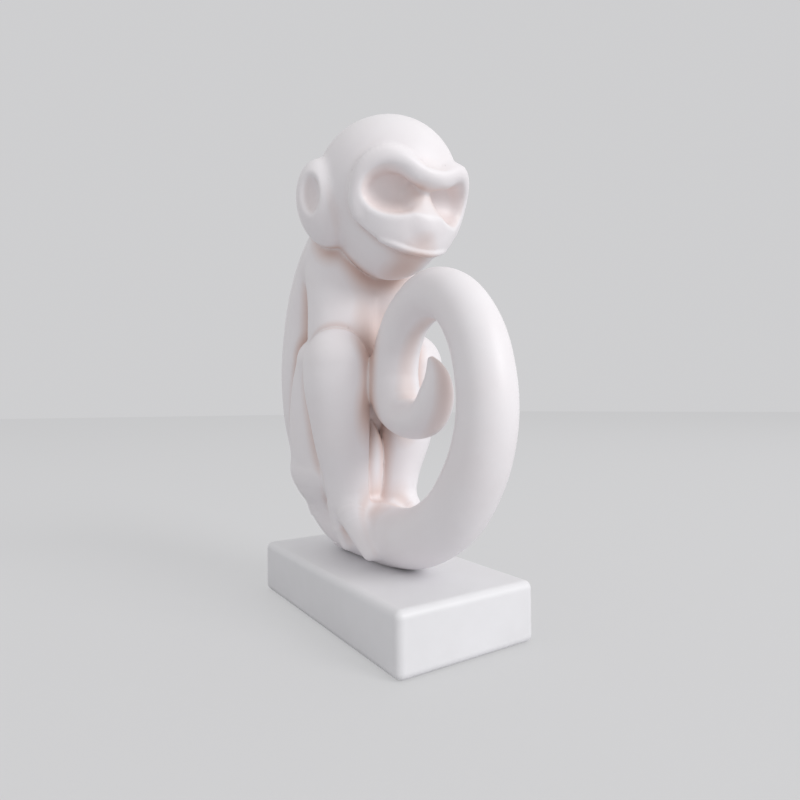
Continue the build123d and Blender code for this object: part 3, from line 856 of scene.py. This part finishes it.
def face_fields(head):
    """The head with its face on it, and the share of it that is the face plate."""
    rim = rim_distance()
    plate = soft_overlap(head - face_thickness, rim, face_rim_round)
    brow = on_head_side(brow_crest, skull_centre, skull_axes)
    brow = ball_chain(smooth_points(both_sides(brow), brow_count))
    lip = on_head_side(lip_points, jaw_centre, jaw_axes)
    lip = ball_chain(smooth_points(both_sides(lip), lip_count))
    moat = (1 - np.clip(np.abs(rim) / moat_width, 0, 1)) * (1 - height_share(*moat_end))
    dressed = head + moat_depth * moat * moat * (3 - 2 * moat)
    dressed = soft_union(dressed, plate, face_foot_round)
    eye = ellipsoid(eye_centre, eye_axes, eye_turn)
    for hollow in (eye, mirrored(eye)):
        dressed = soft_cut(dressed, hollow, eye_round)
    dressed = soft_cut(dressed, ellipsoid(bridge_centre, bridge_axes), bridge_round)
    dressed = soft_union(dressed, ball_chain(nose_balls), nose_blend)
    dressed = soft_union(dressed, brow, brow_blend)
    dressed = soft_union(dressed, lip, lip_blend)
    share = rim - low_margin - (brow_margin - low_margin) * height_share(*margin_heights)
    return dressed, np.maximum(share, -head - face_depth)


def ear_field():
    """The right ear as a solid, and as a cup."""
    whole = ellipsoid(ear_centre, ear_axes, 0.0, ear_tilt)
    return whole, soft_cut(whole, ellipsoid(ear_bowl_centre, ear_bowl_axes), ear_bowl_round)


def members():
    """The torso, both arms as one, the right thigh and the right shin with its foot. The torso is
    drawn in beside the arms and thighs, the arms beside the knees, and the thigh beside the shin."""
    torso = column(torso_ovals, torso_dome, torso_dome, torso_lean)
    torso = soft_union(torso, ellipsoid(groin_centre, groin_axes), groin_blend)
    arm = column(arm_ovals, arm_dome, arm_dome)
    arms = soft_union(arm, mirrored(arm), breast_blend)
    thigh = column(thigh_ovals, thigh_foot_dome, thigh_dome)
    shin = column(shin_ovals, ankle_dome, shin_dome)
    for balls in (foot_balls, heel_balls):
        shin = soft_union(shin, ball_chain(balls), foot_blend)
    below_shoulder, above_rump = 1 - height_share(*arm_groove_end), height_share(*thigh_groove_start)
    right_side = arm, thigh, shin
    for near_arm, near_thigh, near_shin in (right_side, [mirrored(field) for field in right_side]):
        torso = groove(torso, near_arm, arm_groove, below_shoulder)
        torso = groove(torso, near_thigh, thigh_groove, above_rump)
        arms = groove(arms, near_shin, knee_groove)
    beside_shin = (1 - height_share(*shin_groove_end)) * height_share(*shin_groove_start)
    return torso, arms, groove(thigh, shin, shin_groove, beside_shin), shin


def joined_body(torso, arms, thigh, shin, tail_end):
    """The skin without the head: the members in soft creases."""
    body = soft_union(torso, tail_end, rump_crease)
    thigh_blend = crease + (rump_blend - crease) * (1 - height_share(*rump_heights))
    for side in (thigh, mirrored(thigh)):
        body = soft_union(body, side, thigh_blend)
    body = soft_union(body, arms, crease + shoulder_extra * height_share(*shoulder_heights))
    foot_share = (1 - height_share(*foot_heights)) * np.clip((foot_back - Y) / leg_fade, 0, 1)
    leg_blend = crease + (web_blend - crease) * foot_share
    loop_share = height_share(*loop_start) * (1 - height_share(*loop_end))
    loop_share = loop_share * np.clip((loop_back - Y) / leg_fade, 0, 1)
    leg_blend = leg_blend + (loop_blend - crease) * loop_share
    for side in (shin, mirrored(shin)):
        body = soft_union(body, side, leg_blend)
    return body


def least(fields):
    """The smallest of several fields at each place."""
    found = None
    for field in fields:
        found = field if found is None else np.minimum(found, field)
    return found


def tuck_tail(mesh, skin, beyond_sleeves):
    """Notes the tail's hollows for the painted shade, draws it in beneath the sleeves and flattens it on
    the plinth.
    """
    points, facing = np.zeros((2, len(mesh.vertices) * 3), np.float32)
    mesh.vertices.foreach_get("co", points)
    mesh.vertex_normals.foreach_get("vector", facing)
    points, facing = points.reshape(-1, 3) / mm, facing.reshape(-1, 3)
    note_hollows_for_shade(mesh, skin, points, facing)
    covered = sample(beyond_sleeves, points) < -sleeve_wall
    points -= facing * tail_sink * covered[:, None]
    points[:, 2] = np.maximum(points[:, 2], plinth_top)
    mesh.vertices.foreach_set("co", (points * mm).astype(np.float32).ravel())
    mesh.shade_smooth()


def build_figure(material):
    """Every casting of the figure by node name."""
    tail_mesh, *rings = sweep_tail(material)
    tail = tail_field(*rings)
    tail_end = np.where(Y > tail_root_back, np.maximum(tail, Z - rump_joint), tail)
    torso, arms, thigh, shin = members()
    head = head_field()
    dressed_head, face = face_fields(head)
    ear, cup = ear_field()

    skin = joined_body(torso, arms, thigh, shin, tail_end)
    behind = np.clip(Y / nape_back, 0, 1)
    skin = soft_union(skin, dressed_head, neck_blend + (nape_blend - neck_blend) * behind)
    for bowl in (cup, mirrored(cup)):
        skin = soft_union(skin, bowl, ear_blend)
    skin = np.maximum(skin, plinth_top - Z) - sleeve_proud

    owners = {
        "head": head,
        "torso": torso,
        "right_ear": ear,
        "left_ear": mirrored(ear),
        "right_arm": np.maximum(arms, X),
        "left_arm": np.maximum(arms, -X),
        "right_thigh": thigh,
        "left_thigh": mirrored(thigh),
        "right_shin": shin,
        "left_shin": mirrored(shin),
    }
    low_share = 1 - height_share(*sleeve_heights)
    reach = sleeve_reach + (low_sleeve_reach - sleeve_reach) * low_share
    pieces = {}
    for name, own in owners.items():
        rest = least(field for other, field in owners.items() if other != name)
        cut = np.maximum(own - rest, -sleeve_wall - tail_end)
        cut = np.maximum(cut, np.minimum(own - reach, clear_of_tail - tail_end))
        if name in ("head", "right_ear", "left_ear"):
            cut = np.maximum(cut, -face)
        pieces[name] = casting(name + "_cast", skin, cut, material)
    pieces["face_mask"] = casting("face_mask_cast", skin, face, material)
    tuck_tail(tail_mesh, skin, least(owners.values()) - reach)
    pieces["tail"] = new_object("tail_cast", tail_mesh)
    return pieces


cast = figure_finish()
for node, piece in build_figure(cast).items():
    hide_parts(node)
    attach(piece, "root")

steel = metal_finish("bright_steel", (0.50, 0.50, 0.52), (0.66, 0.66, 0.68), 0.25)
brass = metal_finish("turned_brass", (0.66, 0.49, 0.22), (0.82, 0.66, 0.36), 0.22)
wood, felt, base = wood_finish(), felt_finish(), plinth_finish()
dressing = {
    "plinth": base,
    "base_felt": felt,
    "neck_dowel": wood,
    "tail_dowel": wood,
    "threaded_inserts": brass,
    "fixing_screws": steel,
    "screw_washers": steel,
    "ear_pins": steel,
    "face_pins": steel,
    "shoulder_pins": steel,
    "hip_pins": steel,
    "knee_pins": steel,
    "foot_pins": steel,
}
for node, material in dressing.items():
    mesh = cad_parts[node].data
    mesh.materials.clear()
    mesh.materials.append(material)


# Camera, at the place and angle of the photograph
view_pixels, focal_pixels, sensor_width = 800, 578.52, 36.0
camera_place = (-111.905, -185.974, 76.453)
camera_yaw, camera_pitch, camera_roll = radians(-32.947), radians(-0.701), radians(-0.474)


def add_camera():
    backward = Vector((
        sin(camera_yaw) * cos(camera_pitch),
        -cos(camera_yaw) * cos(camera_pitch),
        sin(camera_pitch),
    ))
    level = (-backward).cross(Vector((0, 0, 1))).normalized()
    upright = level.cross(-backward)
    across = level * cos(camera_roll) + upright * sin(camera_roll)
    up = upright * cos(camera_roll) - level * sin(camera_roll)
    lens = bpy.data.cameras.new("camera")
    lens.sensor_width = sensor_width
    lens.lens = lens.sensor_width * focal_pixels / view_pixels
    lens.clip_start, lens.clip_end = 0.01, 100.0
    camera = new_object("camera", lens)
    turn = Matrix((across, up, backward)).transposed().to_4x4()
    camera.matrix_world = Matrix.Translation(Vector(camera_place) * mm) @ turn
    bpy.context.scene.camera = camera


def add_floor():
    """A pale floor. What the camera sees is a mix of a set shade and of the floor as it is lit."""
    reach, set_share = 6.0, 0.6
    mesh = bpy.data.meshes.new("floor")
    places = [(x * reach, y * reach, 0) for x, y in ((-1, -1), (1, -1), (1, 1), (-1, 1))]
    mesh.from_pydata(places, [], [(0, 1, 2, 3)])
    finish = Finish("floor")
    card = finish.add("ShaderNodeBsdfDiffuse", {}, {"Color": (0.60, 0.60, 0.61, 1)})
    shade = finish.add("ShaderNodeEmission", {}, {"Color": (0.70, 0.70, 0.71, 1)})
    seen = finish.add("ShaderNodeLightPath", output="Is Camera Ray")
    mixed = finish.add("ShaderNodeMixShader", {}, {0: seen * set_share, 1: card, 2: shade})
    finish.add_output(mixed)
    mesh.materials.append(finish.material)
    floor = new_object("floor", mesh)


def add_lamp(name, place, aim, size, power):
    lamp = bpy.data.lights.new(name, "AREA")
    lamp.shape, lamp.size, lamp.energy = "DISK", size, power
    holder = new_object(name, lamp)
    holder.location = place
    holder.rotation_euler = (Vector(aim) - Vector(place)).to_track_quat("-Z", "Y").to_euler()


def add_world():
    """Even light from all round, and a grey that only the camera sees."""
    world = bpy.data.worlds.new("studio")
    bpy.context.scene.world = world
    world.use_nodes = True
    nodes, links = world.node_tree.nodes, world.node_tree.links
    nodes.clear()
    pick = nodes.new("ShaderNodeMixShader")
    lit, seen = ((1.0, 1.0, 1.0, 1), 0.68), ((0.62, 0.62, 0.63, 1), 1.0)
    for socket, (colour, strength) in zip(pick.inputs[1:], (lit, seen)):
        sky = nodes.new("ShaderNodeBackground")
        sky.inputs["Color"].default_value = colour
        sky.inputs["Strength"].default_value = strength
        links.new(sky.outputs[0], socket)
    links.new(nodes.new("ShaderNodeLightPath").outputs["Is Camera Ray"], pick.inputs[0])
    links.new(pick.outputs[0], nodes.new("ShaderNodeOutputWorld").inputs["Surface"])


add_camera()
add_floor()
add_world()
key_place, key_aim, key_size, key_power = (0.76, -2.0, 1.18), (0.0, 0.0, 0.09), 1.1, 27.0
add_lamp("key", key_place, key_aim, key_size, key_power)
bpy.context.scene.view_settings.view_transform = "Standard"
